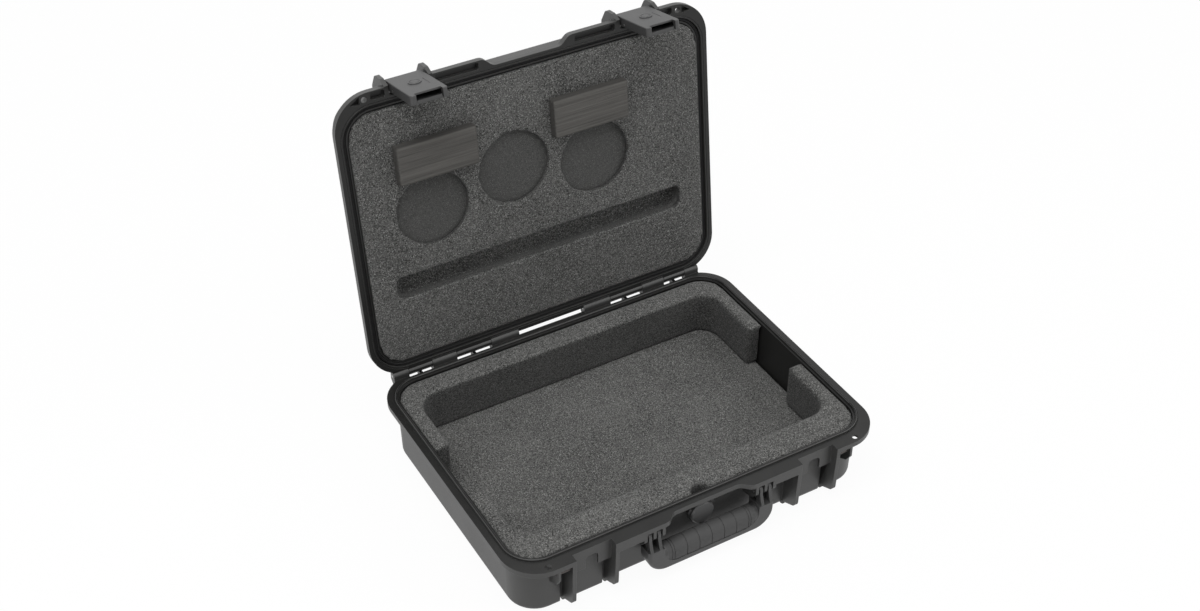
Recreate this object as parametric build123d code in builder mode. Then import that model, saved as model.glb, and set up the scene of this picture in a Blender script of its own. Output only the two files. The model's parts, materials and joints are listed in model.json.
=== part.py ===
import os
from math import cos, pi, sin

from build123d import *

# Control panel hard case: a moulded case with a hinged lid, two latches, a folding
# handle, a pressure valve and cut foam inside. Millimetres, +Z up, +Y to the back.
# The origin is the middle of the underside. The lid and what it carries are drawn
# closed, and then swung open about the hinge axis to the pose of the photograph.

# Driving sizes of the case
opening_w = 470.0
opening_d = 342.0
opening_r = 34.0
base_h = 90.0
lid_h = 48.0
wall = 3.2
rim_reach = 14.6
front_reach = 24.0
lid_open_angle = 97.0

# Shell draft, edge roundings, and the fields by which closed cases stack
base_draft = 1.0
lid_draft = 2.5
bottom_round = 8.0
lid_round = 9.0
foot_h = 1.5
field_inset = 50.0
field_gap = 4.0
field_depth = 0.8

# Cutting shapes run past the faces that they cut by this much
over = 1.0

# Places that follow from the driving sizes
half_w = opening_w / 2
half_d = opening_d / 2
outer_half_w = half_w + rim_reach
back_y = half_d + rim_reach
rail_y = -(half_d + front_reach)
lid_top = base_h + lid_h
floor_top = foot_h + wall

# Rim of the base: deck, sealing tongue and outer skirt
deck_t = 3.0
deck_z = base_h - 3.0
deck_low = deck_z - deck_t
tongue_in = 2.4
tongue_out = 5.4
tongue_groove = (3.5, 4.3)
tongue_bevel = 0.7
skirt_t = 2.5
skirt_h = 4.0
groove_w = 1.2
groove_depth = 0.8
plan_r = opening_r + rim_reach - 2.0
side_web_t = 2.0
side_web_y = [i * 50.0 for i in range(-2, 3)]
back_web_x = 24.0

# Rim of the lid: flange, gasket with its groove, inner lip, and a line groove
lid_gap = 0.9
flange_t = 8.1
lid_rim_z = deck_z + lid_gap
lid_deck_top = lid_rim_z + flange_t
gasket_in = 2.4
gasket_out = 6.4
gasket_side = 0.4
gasket_groove = (4.1, 4.7)
gasket_low_z = base_h + 0.3
gasket_top_z = base_h + 5.0
gasket_bevel = 1.0
lip_trim = 2.6
rim_groove = (8.6, 9.6)

# Front rail with its relief behind the handle
relief_half = 40.0
relief_run = 22.0
relief_y = rail_y + 11.0
mid_rail_h = 14.5
mid_rail_low = deck_z - mid_rail_h

# Latch bays: ribs on both sides, and a catch plate with an arch
bay_x = half_w - 82.3
rib_pitch = 55.4
rib_t = 5.0
rib_x = (bay_x - rib_pitch / 2, bay_x + rib_pitch / 2)
rib_front_z = 18.5
rib_wall_z = 5.5
rib_toe = 2.0
rib_round = 8.0
catch_y = rail_y + 10.5
catch_t = 2.7
catch_low_z = base_h - 33.0
arch_w = 16.5
arch_h = 18.0
arch_r = 5.0
catch_gap = 1.0

# Recess of the front wall behind the handle, and the grooves beside the ribs
recess_half = rib_x[0] - rib_t / 2
recess_y = -(half_d - 3.0)
recess_wall = wall - 0.4
recess_top = base_h - 24.0
recess_slope = 9.0
groove_half = 2.5
groove_x = [x + side * (rib_t / 2 + groove_half) for x, side in zip((*rib_x, rib_x[1]), (1, -1, 1))]

# Padlock holes, gussets and strap bars in the front corners
lock_x = half_w - 26.0
lock_y = rail_y + 8.0
lock_r = 3.6
gusset_x = half_w - 35.5
gusset_t = 3.0
gusset_front_h = 18.0
gusset_step = (6.0, 28.0)
gusset_wall_h = 38.0
gusset_round = 5.0
bar_y = rail_y + 5.5
bar_z = base_h - 17.0
bar_r = 1.9
bar_seat = 1.0

# Cored pockets in the front of the lid flange
core_front_y = rail_y + 2.0
core_back_y = rail_y + 11.0
core_h = 6.0
core_r = 2.5
core_spans = ((relief_half + relief_run + 2.0, rib_x[0] - rib_t),
              (rib_x[1] + rib_t / 2, gusset_x + gusset_t / 2))
core_tip_x = half_w - 8.0
core_tip_gap = 2.0
core_tip_front = core_front_y + 1.0
core_tip_back = core_back_y + 2.0

# Hinge: knuckles as distances from the side of the opening, and the stops of the lid
hinge_y = half_d + 16.5
hinge_z = base_h + 1.6
barrel_r = 5.5
hinge_pin_r = 2.0
run_gap = 0.05
knuckle_gap = 0.6
knuckle_x = [half_w - edge for edge in (187.0, 147.0, 98.3, 64.4, 31.7, 10.5)]
hinge_clear = 1.2
web_reach = 8.5
web_tip = 2.0
web_drop = 8.0
stop_x = (half_w - 123.0, half_w - 48.0)
stop_t = 4.0
stop_reach = 4.0
stop_drop = 0.5
stop_gap = 0.2

# Latch cover
latch_w = 46.0
latch_y = rail_y - 2.0
latch_face_t = 2.3
latch_wall_t = 2.3
latch_back_y = catch_y - 1.1
latch_low_z = base_h - 62.0
latch_tab_z = latch_low_z + 6.0
latch_notch_half = 16.5
latch_notch_h = 6.5
latch_corner = 4.0
latch_edge = 1.2
latch_pivot_y = latch_y + 6.3
latch_pivot_z = base_h + 12.0
latch_hub_r = 6.3
latch_pin_r = 2.0
latch_pin_end = 2.0
latch_rest_angle = 5.0
knob_z = base_h - 21.0
knob_r = 8.0
knob_h = 1.0
knob_ring = (5.2, 6.0)
mark_x = 12.5
mark_w = 1.0
mark_depth = 0.5
mark_z = (knob_z - 15.0, knob_z + 6.0)

# Ears of the lid that carry the latch pins
ear_y = rail_y - 6.0
ear_foot = 1.0
ear_low = 3.0
ear_high = 12.0
ear_top = 24.0
ear_round = 7.5

# Latch trigger with its hooks
trigger_pivot_y = latch_y + 8.4
trigger_pivot_z = base_h - 8.0
trigger_pin_r = 1.5
trigger_hub_r = 3.0
trigger_t = 2.1
trigger_half = latch_w / 2 - latch_wall_t - 0.8
trigger_low_z = latch_low_z + 2.0
trigger_top_z = trigger_pivot_z + 2.0
trigger_back_y = catch_y - 0.8
trigger_lip_half = 15.5
trigger_lip = 2.0
trigger_window_half = 5.5
trigger_window_gap = 1.5
trigger_step_z = latch_tab_z + 1.0
hook_x = 14.0
hook_w = 9.0
hook_reach = 2.9
hook_h = 9.5
hook_tip_h = 2.4
hook_root = 0.7
hook_round = 0.8
hook_gap = 0.6

# Trigger spring
spring_coil_r = 2.5
spring_wire_r = 0.4
spring_turns = 3
spring_pitch = 0.95
spring_steps = 10
spring_leg = 5.0

# Handle
handle_pivot_y = rail_y + 6.0
handle_pivot_z = base_h - 19.0
handle_hub_r = 6.0
handle_pin_r = 2.0
finger_t = 4.0
finger_pitch = 12.0
finger_x = [64.0 + i * finger_pitch for i in range(3)]
finger_front_h = 16.0
finger_step = (8.0, 25.5)
finger_wall_h = 30.0
finger_round = 6.0
prong_slot_half = (finger_pitch - finger_t) / 2
prong_roof = 4.0
prong_shoulder = 5.0
handle_bore_end = 3.0
handle_pin_end = 2.0
prong_x = [x + finger_pitch / 2 for x in finger_x[:2]]
handle_half = finger_x[-1] - finger_t / 2
handle_front_y = rail_y - 5.0
handle_back_y = handle_front_y + 22.0
handle_web_z = handle_pivot_z - 19.5
handle_low_z = handle_pivot_z - 55.0
handle_corner = 26.0
handle_edge = 4.0
band_top_z = handle_low_z + 9.0
window_r = 19.0
window_half = finger_x[0] + 1.0

# Grip on the handle
grip_y = handle_front_y + 11.3
grip_z = handle_pivot_z - 38.5
grip_w = 22.0
grip_h = 30.0
grip_core_w = 14.0
grip_core_h = 20.0
grip_core_r = 6.0
grip_core_half = finger_x[0] + 2.0
grip_r = grip_w / 2 - 0.1
grip_half_len = 60.0
collar_t = 6.0
ring_count = 7
ring_pitch = 17.0
ring_end = 3.2
ring_w = 0.8
ring_depth = 0.7

# Pressure valve
valve_x = 1.5
valve_z = base_h - 36.0
valve_cap_r = 15.5
valve_cap_t = 5.5
valve_cap_wall = 2.5
valve_cap_bevel = 1.6
valve_stem_r = 6.0
valve_hole_r = 6.1
valve_hole_reach = 9.0
valve_stem_end = 1.0
valve_room = 1.0
valve_flange_t = 2.5
valve_flange_r = 16.8
valve_lug_r = 19.8
valve_lug_half = 3.0
valve_lug_gap = 0.5
valve_lug_angles = (35.0, 155.0, 275.0)
valve_nut_r = 9.5
valve_nut_t = 4.5
valve_ring_r = 9.0
valve_ring_wire_r = 0.6
valve_ring_gap = 0.1
valve_vent_r = 1.5
valve_membrane_r = 5.0
valve_membrane_t = 0.3

# Foam of the base
foam_gap = 0.4
base_foam_top = base_h - 3.0
pocket_half_x = half_w - 21.0
pocket_front_y = -(half_d - 42.0)
pocket_back_y = half_d - 31.0
pocket_r = 26.0
pocket_floor_z = 26.0
slot_front_y = -41.5
slot_back_y = 45.5
valve_notch_half = 11.0
valve_notch_y = recess_y + 9.0

# Foam of the lid
lid_foam_z = base_h - 2.0
facing_t = 7.0
facing_top = lid_foam_z + facing_t
backing_top_gap = 0.6
block_l = 104.0
block_w = 50.0
block_h = 14.0
block_edge = 2.5
block_y = -(half_d - 73.5)
block_x = (-132.5, 74.0)
disc_r = 46.5
disc_pattern_x = -31.0
disc_pitch = 111.5
disc_outer_y = block_y + 71.5
disc_middle_y = disc_outer_y - 20.0
long_slot_l = opening_w - 70.0
long_slot_w = 28.0
long_slot_r = 3.0
long_slot_y = disc_outer_y + 94.0
long_slot_depth = 25.0

swing = Pos(0, hinge_y, hinge_z) * Rot(X=-lid_open_angle) * Pos(0, -hinge_y, -hinge_z)
sides = (("left", -1), ("right", 1))

os.makedirs("parts", exist_ok=True)


def keep(piece, node, place=Location()):
    """Name a finished piece, put it in its rest place and write it out."""
    placed = place * piece
    placed.label = node
    export_step(placed, f"parts/{node}.step")


def ring_plan(inner, outer):
    """Flat band between two offsets of the opening's outline."""
    with BuildSketch() as plan:
        RectangleRounded(opening_w + 2 * outer, opening_d + 2 * outer, opening_r + outer)
        RectangleRounded(opening_w + 2 * inner, opening_d + 2 * inner, opening_r + inner, mode=Mode.SUBTRACT)
    return plan.sketch


def rim_plan(shrink):
    """Outer outline of the rim seen from above, with the relief behind the handle."""
    front = rail_y + shrink
    back = back_y - shrink
    edge = relief_y + shrink
    inner = relief_half + shrink
    outer = inner + relief_run
    with BuildSketch() as plan:
        with Locations((0, (front + back) / 2)):
            RectangleRounded(2 * (outer_half_w - shrink), back - front, plan_r - shrink)
        with BuildLine():
            left = Spline((-outer, front), (-inner, edge), tangents=((1, 0), (1, 0)))
            middle = Line(left @ 1, (inner, edge))
            right = Spline(middle @ 1, (outer, front), tangents=((1, 0), (1, 0)))
            Polyline(right @ 1, (outer, front - over), (-outer, front - over), left @ 0)
        make_face(mode=Mode.SUBTRACT)
    return plan.sketch


def cross_plate(points, x, thickness, rounding=0.0, rounded=()):
    """Plate across the case: a y-z outline given its thickness along x."""
    with BuildPart() as plate:
        with BuildSketch(Plane.YZ.offset(x)) as outline:
            Polygon(*points, align=None)
            spots = [Vector(*points[i]) for i in rounded]
            corners = [corner for corner in outline.vertices()
                       if any(abs(corner.X - spot.X) + abs(corner.Y - spot.Y) < 0.01 for spot in spots)]
            if corners:
                fillet(corners, rounding)
        extrude(amount=thickness / 2, both=True)
    return plate.part


def block(x0, x1, y0, y1, z0, z1):
    """Plain box between two corners."""
    with BuildPart() as box:
        with Locations(((x0 + x1) / 2, (y0 + y1) / 2, (z0 + z1) / 2)):
            Box(abs(x1 - x0), y1 - y0, z1 - z0)
    return box.part


def rod(x0, x1, y, z, r):
    """Round bar along x."""
    with BuildPart() as bar:
        with Locations(Location(((x0 + x1) / 2, y, z), (0, 90, 0))):
            Cylinder(r, abs(x1 - x0))
    return bar.part


def disc(x, y0, y1, z, r):
    """Round disc or bar along y."""
    with BuildPart() as bar:
        with Locations(Location((x, (y0 + y1) / 2, z), (90, 0, 0))):
            Cylinder(r, y1 - y0)
    return bar.part


def grip_bar(half_len, width, height, r):
    """Bar along x with a rounded section, at the place of the grip."""
    with BuildPart() as bar:
        with BuildSketch(Plane.YZ):
            with Locations((grip_y, grip_z)):
                RectangleRounded(width, height, r)
        extrude(amount=half_len, both=True)
    return bar.part


def lock_holes():
    """The padlock holes in both front corners."""
    with BuildPart() as holes:
        with Locations((-lock_x, lock_y, base_h), (lock_x, lock_y, base_h)):
            Cylinder(lock_r, 4 * front_reach)
    return holes.part


def knuckle_spans(base):
    """The x spans of the hinge knuckles of one shell, on both sides."""
    spans = [(knuckle_x[i], knuckle_x[i + 1]) for i in range(0 if base else 1, len(knuckle_x) - 1, 2)]
    return spans + [(-b, -a) for a, b in spans]


def knuckles(base):
    """Hinge knuckles of one shell with the webs that carry them."""
    up = -1 if base else 1
    face_z = deck_z if base else lid_rim_z
    flange_z = deck_low if base else lid_deck_top
    web_z = flange_z + up * web_drop
    outline = ((hinge_y - web_reach, face_z), (hinge_y - barrel_r, face_z), (hinge_y - barrel_r, hinge_z),
               (hinge_y + barrel_r, hinge_z), (hinge_y + barrel_r, flange_z), (hinge_y - web_tip, web_z),
               (hinge_y - web_reach, web_z))
    with BuildPart() as row:
        for a, b in knuckle_spans(base):
            a, b = a + knuckle_gap / 2, b - knuckle_gap / 2
            add(rod(a, b, hinge_y, hinge_z, barrel_r))
            add(cross_plate(outline, (a + b) / 2, abs(b - a)))
    return row.part


def knuckle_room(base):
    """Space cut from one shell for the knuckles of the other one."""
    reach = barrel_r + hinge_clear
    with BuildPart() as room:
        for a, b in knuckle_spans(not base):
            add(block(a - knuckle_gap / 2, b + knuckle_gap / 2, hinge_y - reach, hinge_y + reach,
                      hinge_z - 3 * reach, hinge_z + 3 * reach))
    return room.part


def hinge_bores(r):
    """Round bars through both rows of knuckles."""
    with BuildPart() as bores:
        for side in (-1, 1):
            add(rod(side * knuckle_x[0], side * knuckle_x[-1], hinge_y, hinge_z, r))
    return bores.part


def bay_spans():
    """The x span between the two ribs of each latch bay."""
    inner = rib_x[0] + rib_t / 2
    outer = rib_x[1] - rib_t / 2
    return [(-outer, -inner), (inner, outer)]


def recess_slab(grow, x, half):
    """Recess of one width in the front wall, which keeps the rounded foot of the wall."""
    y = recess_y + grow
    low = foot_h + grow
    high = recess_top + grow / 2
    front = rail_y - over
    under = y + bottom_round + over
    outline = ((under, -base_h), (under, low), (y, low), (y, high), (y - recess_slope, high + recess_slope),
               (front, high + recess_slope), (front, -base_h))
    return cross_plate(outline, x, 2 * (half + grow), bottom_round - grow, (2,))


def recess_cut(grow):
    """The recess behind the handle with its room for the valve, and the grooves beside the latch ribs."""
    with BuildPart() as cut:
        add(recess_slab(grow, 0, recess_half))
        add(disc(valve_x, rail_y, recess_y + grow, valve_z, valve_lug_r + valve_room + grow))
        for side in (-1, 1):
            for x in groove_x:
                add(recess_slab(grow, side * x, groove_half))
    return cut.part


# Base shell: body, with the recess and grooves in its front wall
with BuildPart() as base_body:
    with BuildSketch(Plane.XY.offset(deck_low)):
        RectangleRounded(opening_w + 2 * wall, opening_d + 2 * wall, opening_r + wall)
    extrude(amount=-(deck_low - foot_h), taper=base_draft)
    fillet(base_body.faces().sort_by(Axis.Z)[0].edges(), bottom_round)
    add(recess_cut(0), mode=Mode.SUBTRACT)
    # raised field that carries the case and nests in the lid of another one
    with BuildSketch(Plane.XY.offset(foot_h)):
        RectangleRounded(opening_w - 2 * (field_inset + field_gap), opening_d - 2 * (field_inset + field_gap),
                         opening_r / 2)
    extrude(amount=-foot_h)

# Inside of the base, which bulges inward behind the recess
with BuildPart() as base_inside:
    with BuildSketch(Plane.XY.offset(base_h)):
        RectangleRounded(opening_w, opening_d, opening_r)
    extrude(amount=-(base_h - foot_h - wall), taper=base_draft)
    fillet(base_inside.faces().sort_by(Axis.Z)[0].edges(), bottom_round - wall)
    add(recess_cut(recess_wall), mode=Mode.SUBTRACT)

# Base rim: deck, sealing tongue, skirt, and the deeper rails beside the handle
with BuildPart() as base_rim:
    with BuildSketch(Plane.XY.offset(deck_low)):
        add(rim_plan(0))
    extrude(amount=deck_t)
    with BuildSketch(Plane.XY.offset(deck_low - skirt_h)):
        add(rim_plan(0))
        add(rim_plan(skirt_t), mode=Mode.SUBTRACT)
    extrude(amount=skirt_h)
    with BuildSketch(Plane.XY.offset(deck_z)):
        add(ring_plan(tongue_in, tongue_out))
    extrude(amount=base_h - deck_z)
    chamfer(base_rim.faces().sort_by(Axis.Z)[-1].edges(), tongue_bevel)
    with BuildSketch(Plane.XY.offset(base_h)):
        add(ring_plan(*tongue_groove))
    extrude(amount=-groove_depth, mode=Mode.SUBTRACT)
    for side in (-1, 1):
        add(block(side * (relief_half + relief_run), side * rib_x[0], rail_y, rail_y + skirt_t, mid_rail_low,
                  deck_low))

# Side outlines of the plates that stand in front of the base
inside_y = recess_y + recess_wall / 2
rib_outline = ((rail_y, deck_low), (rail_y, bar_z), (rail_y + rib_toe, rib_front_z), (inside_y, rib_wall_z),
               (inside_y, deck_low))
gusset_outline = ((rail_y, deck_low), (rail_y, deck_low - gusset_front_h),
                  (rail_y + gusset_step[0], deck_low - gusset_step[1]), (-half_d, deck_low - gusset_wall_h),
                  (-half_d, deck_low))
finger_outline = ((rail_y, deck_low), (rail_y, deck_low - finger_front_h),
                  (rail_y + finger_step[0], deck_low - finger_step[1]), (recess_y, deck_low - finger_wall_h),
                  (recess_y, deck_low))

with BuildPart() as base_shell:
    add(base_body.part)
    add(base_rim.part)
    for side in (-1, 1):
        for x in rib_x:
            add(cross_plate(rib_outline, side * x, rib_t, rib_round, (2,)))
        add(cross_plate(gusset_outline, side * gusset_x, gusset_t, gusset_round, (1, 2)))
        for x in finger_x:
            add(cross_plate(finger_outline, side * x, finger_t, finger_round, (1, 2)))
        # webs under the rim, along the sides and the back
        for y in side_web_y:
            add(block(side * (half_w + over), side * (outer_half_w - over), y - side_web_t / 2,
                      y + side_web_t / 2, deck_low - skirt_h, deck_low))
        add(block(side * back_web_x - side_web_t / 2, side * back_web_x + side_web_t / 2, half_d + over,
                  back_y - over, deck_low - skirt_h, deck_low))
    add(base_inside.part, mode=Mode.SUBTRACT)
    for a, b in bay_spans():
        # the rim steps back in the latch bays, and a catch plate with an arch closes it
        add(block(a, b, rail_y - over, catch_y, 0, deck_z + over), mode=Mode.SUBTRACT)
        add(block(a - over, b + over, catch_y, catch_y + catch_t, catch_low_z, deck_low + over))
        arch_x = (a + b) / 2
        with BuildSketch(Plane.XZ.offset(-catch_y - catch_t)) as arch:
            with Locations((arch_x, catch_low_z)):
                RectangleRounded(arch_w, 2 * arch_h, arch_r)
        extrude(amount=catch_t, mode=Mode.SUBTRACT)
    # slots in the rail for the prongs of the handle
    for side in (-1, 1):
        for x in prong_x:
            add(block(side * x - prong_slot_half, side * x + prong_slot_half, rail_y - over, handle_pivot_y,
                      mid_rail_low - over, deck_low - prong_roof), mode=Mode.SUBTRACT)
        add(rod(side * (finger_x[0] - handle_bore_end), side * (finger_x[-1] + handle_bore_end),
                handle_pivot_y, handle_pivot_z, handle_pin_r), mode=Mode.SUBTRACT)
        # seats of the strap bars
        add(rod(side * (rib_x[1] - bar_seat), side * (gusset_x + gusset_t), bar_y, bar_z, bar_r),
            mode=Mode.SUBTRACT)
    # grooves in the deck that show as dark lines
    with BuildSketch(Plane.XY.offset(deck_z)):
        add(ring_plan(tongue_out, tongue_out + groove_w))
    extrude(amount=-groove_depth, mode=Mode.SUBTRACT)
    add(lock_holes(), mode=Mode.SUBTRACT)
    # hinge
    add(knuckle_room(True), mode=Mode.SUBTRACT)
    add(knuckles(True))
    add(hinge_bores(hinge_pin_r), mode=Mode.SUBTRACT)
    # ledges that stop the open lid
    for side in (-1, 1):
        for x in stop_x:
            add(block(side * x - stop_t / 2, side * x + stop_t / 2, half_d + over, hinge_y + stop_reach,
                      deck_low - web_drop, hinge_z - barrel_r - stop_drop - stop_gap))
    # hole of the pressure valve
    add(disc(valve_x, recess_y - valve_hole_reach, recess_y + valve_hole_reach, valve_z, valve_hole_r),
        mode=Mode.SUBTRACT)
keep(base_shell.part, "base_shell")


# Lid: cavity, then the shell with its flange, ears and hinge knuckles
with BuildPart() as lid_inside:
    with BuildSketch(Plane.XY.offset(lid_rim_z - over)):
        RectangleRounded(opening_w, opening_d, opening_r)
    extrude(amount=lid_top - wall - lid_rim_z + over, taper=lid_draft)
    fillet(lid_inside.faces().sort_by(Axis.Z)[-1].edges(), lid_round - wall)

with BuildPart() as lid_shell:
    with BuildSketch(Plane.XY.offset(lid_deck_top - over)):
        RectangleRounded(opening_w + 2 * wall, opening_d + 2 * wall, opening_r + wall)
    extrude(amount=lid_top - lid_deck_top + over, taper=lid_draft)
    fillet(lid_shell.faces().sort_by(Axis.Z)[-1].edges(), lid_round)
    with BuildSketch(Plane.XY.offset(lid_rim_z)):
        add(rim_plan(0))
    extrude(amount=flange_t)
    # ears that carry the latch pins
    ear_outline = ((-half_d, lid_rim_z), (rail_y - ear_foot, lid_rim_z), (ear_y, latch_pivot_z - ear_low),
                   (ear_y, latch_pivot_z + ear_high), (core_back_y, latch_pivot_z + ear_top),
                   (-half_d, latch_pivot_z + ear_top))
    for side in (-1, 1):
        for x in rib_x:
            add(cross_plate(ear_outline, side * x, rib_t, ear_round, (3, 4)))
    add(lid_inside.part, mode=Mode.SUBTRACT)
    # the flange steps back in the latch bays
    for a, b in bay_spans():
        add(block(a, b, rail_y - over, catch_y + catch_gap, lid_rim_z - over, lid_deck_top + over),
            mode=Mode.SUBTRACT)
    # groove of the gasket, and the lip on its inner side
    with BuildSketch(Plane.XY.offset(lid_rim_z)):
        add(ring_plan(gasket_in - gasket_side, gasket_out + gasket_side))
    extrude(amount=gasket_top_z - lid_rim_z, mode=Mode.SUBTRACT)
    with BuildSketch(Plane.XY.offset(lid_rim_z)):
        add(ring_plan(-over, gasket_in))
    extrude(amount=lip_trim, mode=Mode.SUBTRACT)
    with BuildSketch(Plane.XY.offset(lid_rim_z)):
        add(ring_plan(*rim_groove))
    extrude(amount=groove_depth, mode=Mode.SUBTRACT)
    # cored pockets in the front of the flange
    with BuildSketch(Plane.XY.offset(lid_rim_z)):
        for side in (-1, 1):
            for x0, x1 in core_spans:
                with Locations((side * (x0 + x1) / 2, (core_front_y + core_back_y) / 2)):
                    RectangleRounded(x1 - x0, core_back_y - core_front_y, core_r)
            flat_x = side * (lock_x + lock_r + core_tip_gap)
            Polygon((flat_x, core_tip_back), (flat_x, core_tip_front), (side * core_tip_x, core_back_y),
                    align=None)
    extrude(amount=core_h, mode=Mode.SUBTRACT)
    # shallow field on the outer face
    with BuildSketch(Plane.XY.offset(lid_top)):
        RectangleRounded(opening_w - 2 * field_inset, opening_d - 2 * field_inset, opening_r / 2 + field_gap)
    extrude(amount=-field_depth, mode=Mode.SUBTRACT)
    add(lock_holes(), mode=Mode.SUBTRACT)
    add(knuckle_room(False), mode=Mode.SUBTRACT)
    add(knuckles(False))
    add(hinge_bores(hinge_pin_r + run_gap), mode=Mode.SUBTRACT)
    for a, b in bay_spans():
        add(rod(a - rib_t - over, b + rib_t + over, latch_pivot_y, latch_pivot_z, latch_pin_r),
            mode=Mode.SUBTRACT)
keep(lid_shell.part, "lid_shell", swing)

# Gasket in the groove of the lid
with BuildPart() as lid_gasket:
    with BuildSketch(Plane.XY.offset(gasket_low_z)):
        add(ring_plan(gasket_in, gasket_out))
    extrude(amount=gasket_top_z - gasket_low_z)
    chamfer(lid_gasket.faces().sort_by(Axis.Z)[0].edges(), gasket_bevel)
    with BuildSketch(Plane.XY.offset(gasket_low_z)):
        add(ring_plan(*gasket_groove))
    extrude(amount=groove_depth, mode=Mode.SUBTRACT)
keep(lid_gasket.part, "lid_gasket", swing)

# Hinge pins
for name, side in sides:
    with BuildPart() as hinge_pin:
        add(rod(side * knuckle_x[0], side * knuckle_x[-1], hinge_y, hinge_z, hinge_pin_r))
    keep(hinge_pin.part, f"hinge_pin_{name}")


def lid_foam(z0, z1):
    """The slab of lid foam between two heights, without its cut-outs."""
    with BuildPart() as slab:
        with BuildSketch(Plane.XY.offset(lid_foam_z)):
            RectangleRounded(opening_w - 2 * foam_gap, opening_d - 2 * foam_gap, opening_r - foam_gap)
        extrude(amount=lid_top - wall - backing_top_gap - lid_foam_z, taper=lid_draft)
        chamfer(slab.faces().sort_by(Axis.Z)[-1].edges(), lid_round - wall)
        add(block(-half_w, half_w, -half_d, half_d, z0, z1), mode=Mode.INTERSECT)
    return slab.part


# Foam of the lid
with BuildPart() as lid_foam_facing:
    add(lid_foam(lid_foam_z, facing_top))
    with BuildSketch(Plane.XY.offset(lid_foam_z)):
        with Locations((disc_pattern_x - disc_pitch, disc_outer_y), (disc_pattern_x, disc_middle_y),
                       (disc_pattern_x + disc_pitch, disc_outer_y)):
            Circle(disc_r)
        with Locations((0, long_slot_y)):
            RectangleRounded(long_slot_l, long_slot_w, long_slot_r)
    extrude(amount=facing_t, mode=Mode.SUBTRACT)
keep(lid_foam_facing.part, "lid_foam_facing", swing)

with BuildPart() as lid_foam_backing:
    add(lid_foam(facing_top, lid_top))
    with BuildSketch(Plane.XY.offset(facing_top)):
        with Locations((0, long_slot_y)):
            RectangleRounded(long_slot_l, long_slot_w, long_slot_r)
    extrude(amount=long_slot_depth - facing_t, mode=Mode.SUBTRACT)
keep(lid_foam_backing.part, "lid_foam_backing", swing)

for (name, side), x in zip(sides, block_x):
    with BuildPart() as foam_block:
        add(block(x - block_l / 2, x + block_l / 2, block_y - block_w / 2, block_y + block_w / 2,
                  lid_foam_z - block_h, lid_foam_z))
        fillet(foam_block.faces().sort_by(Axis.Z)[0].edges(), block_edge)
    keep(foam_block.part, f"lid_foam_block_{name}", swing)

# Foam of the base
with BuildPart() as base_foam:
    with BuildSketch(Plane.XY.offset(base_foam_top)):
        RectangleRounded(opening_w - 2 * foam_gap, opening_d - 2 * foam_gap, opening_r - foam_gap)
    extrude(amount=-(base_foam_top - floor_top), taper=base_draft)
    chamfer(base_foam.faces().sort_by(Axis.Z)[0].edges(), bottom_round - wall)
    add(recess_cut(recess_wall + foam_gap), mode=Mode.SUBTRACT)

with BuildPart() as base_foam_ring:
    add(base_foam.part)
    add(block(-half_w, half_w, -half_d, half_d, 0, pocket_floor_z), mode=Mode.SUBTRACT)
    with BuildSketch(Plane.XY.offset(base_foam_top)):
        with Locations((0, (pocket_front_y + pocket_back_y) / 2)):
            RectangleRounded(2 * pocket_half_x, pocket_back_y - pocket_front_y, pocket_r)
        with Locations((0, (slot_front_y + slot_back_y) / 2)):
            Rectangle(opening_w, slot_back_y - slot_front_y)
    extrude(amount=pocket_floor_z - base_foam_top, mode=Mode.SUBTRACT)
    add(block(valve_x - valve_notch_half, valve_x + valve_notch_half, -half_d, valve_notch_y, pocket_floor_z,
              base_foam_top), mode=Mode.SUBTRACT)
for node, y0, y1 in (("base_foam_front", -half_d, slot_front_y), ("base_foam_back", slot_back_y, half_d)):
    with BuildPart() as foam_half:
        add(base_foam_ring.part)
        add(block(-half_w, half_w, y0, y1, 0, base_h), mode=Mode.INTERSECT)
    keep(foam_half.part, node)

with BuildPart() as base_foam_floor:
    add(base_foam.part)
    add(block(-half_w, half_w, -half_d, half_d, 0, pocket_floor_z), mode=Mode.INTERSECT)
keep(base_foam_floor.part, "base_foam_floor")


def latch_cover(x):
    """Cover of one latch: hub, face, side walls, end tabs and the notch for a finger."""
    half = latch_w / 2
    inner = half - latch_wall_t
    left = x - latch_notch_half
    right = x + latch_notch_half
    face_in = latch_y + latch_face_t
    with BuildPart() as cover:
        add(block(x - half, x + half, latch_y, latch_back_y, latch_low_z, latch_pivot_z))
        fillet(cover.edges().filter_by(Axis.Y).group_by(Axis.Z)[0], latch_corner)
        fillet(cover.faces().sort_by(Axis.Y)[0].edges(), latch_edge)
        add(block(x - inner, x + inner, face_in, latch_back_y, latch_tab_z, latch_pivot_z),
            mode=Mode.SUBTRACT)
        add(block(left, right, face_in, latch_back_y, latch_low_z, latch_tab_z), mode=Mode.SUBTRACT)
        add(block(left, right, latch_y, face_in, latch_low_z, latch_low_z + latch_notch_h),
            mode=Mode.SUBTRACT)
        add(rod(x - half, x + half, latch_pivot_y, latch_pivot_z, latch_hub_r))
        # raised knob with a ring, and a line groove on the face
        with BuildSketch(Plane.XZ.offset(-latch_y)):
            with Locations((x, knob_z)):
                Circle(knob_r)
        extrude(amount=knob_h)
        with BuildSketch(Plane.XZ.offset(-latch_y + knob_h)):
            with Locations((x, knob_z)):
                Circle(knob_ring[1])
                Circle(knob_ring[0], mode=Mode.SUBTRACT)
        extrude(amount=-mark_depth, mode=Mode.SUBTRACT)
        add(block(x + mark_x - mark_w / 2, x + mark_x + mark_w / 2, latch_y, latch_y + mark_depth, *mark_z),
            mode=Mode.SUBTRACT)
        add(rod(x - half, x + half, latch_pivot_y, latch_pivot_z, latch_pin_r + run_gap), mode=Mode.SUBTRACT)
        add(rod(x - half, x + half, trigger_pivot_y, trigger_pivot_z, trigger_pin_r), mode=Mode.SUBTRACT)
    return cover.part


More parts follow.
